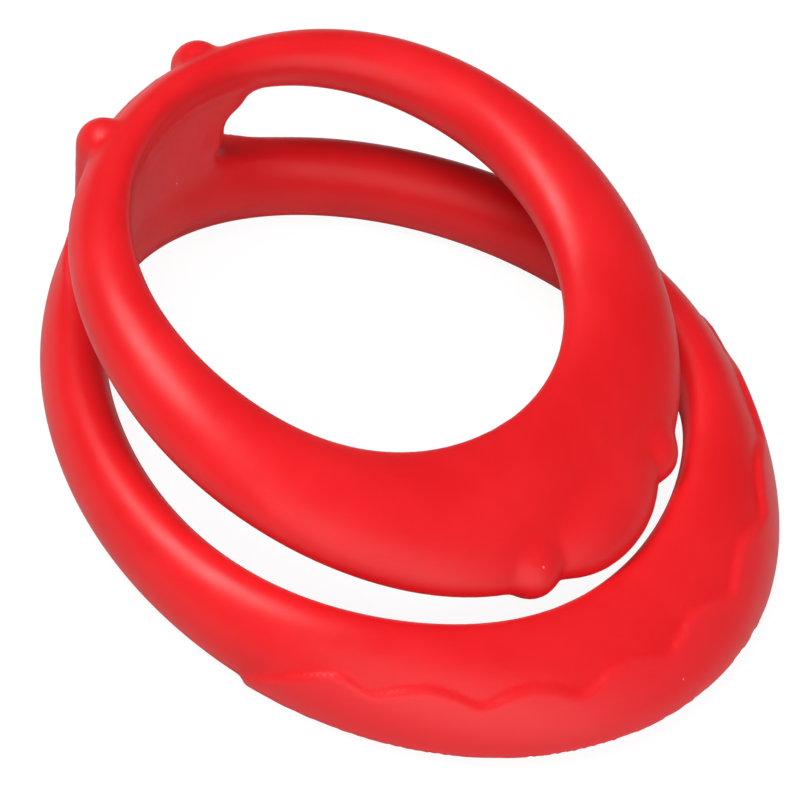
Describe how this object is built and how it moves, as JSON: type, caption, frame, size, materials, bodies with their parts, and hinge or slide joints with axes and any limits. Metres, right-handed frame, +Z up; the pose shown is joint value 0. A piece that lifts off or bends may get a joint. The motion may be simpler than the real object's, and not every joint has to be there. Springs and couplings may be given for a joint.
{
  "type": "one-piece elastic double ring",
  "caption": "Soft one-piece double ring: a large lower ring and a smaller tipped upper ring share an upright bridge; wavy band and rounded lobes on the free ends.",
  "frame": {"origin": "under the middle of the whole part, on the table that the lower ring rests on", "axes": "+X towards the rings' free ends, the bridge at -X, +Z up, and the XZ plane is the plane of symmetry"},
  "size_m": [0.062, 0.0594, 0.0178],
  "materials": {
    "silicone": "satin red silicone",
    "silicone_web": "satin red silicone",
    "silicone_raised": "satin red silicone"
  },
  "bodies": {
    "lower": {"lower_ring": "silicone", "wave_band": "silicone_raised", "bridge_foot": "silicone", "bridge_web": "silicone_web", "rib_left": "silicone_raised", "rib_right": "silicone_raised"},
    "upper": {"upper_ring": "silicone", "bridge_head": "silicone", "lobe_centre": "silicone_raised", "lobe_left": "silicone_raised", "lobe_right": "silicone_raised"}
  },
  "joints": [
    {"name": "bridge_bend", "type": "hinge", "parent": "lower", "child": "upper", "pos_m": [-0.0288, 0, 0.0099], "axis": [0, -1, 0], "range_deg": [-8, 50], "stiffness_Nm_per_rad": 0.06, "deforming": ["bridge_web", "rib_left", "rib_right"]}
  ]
}
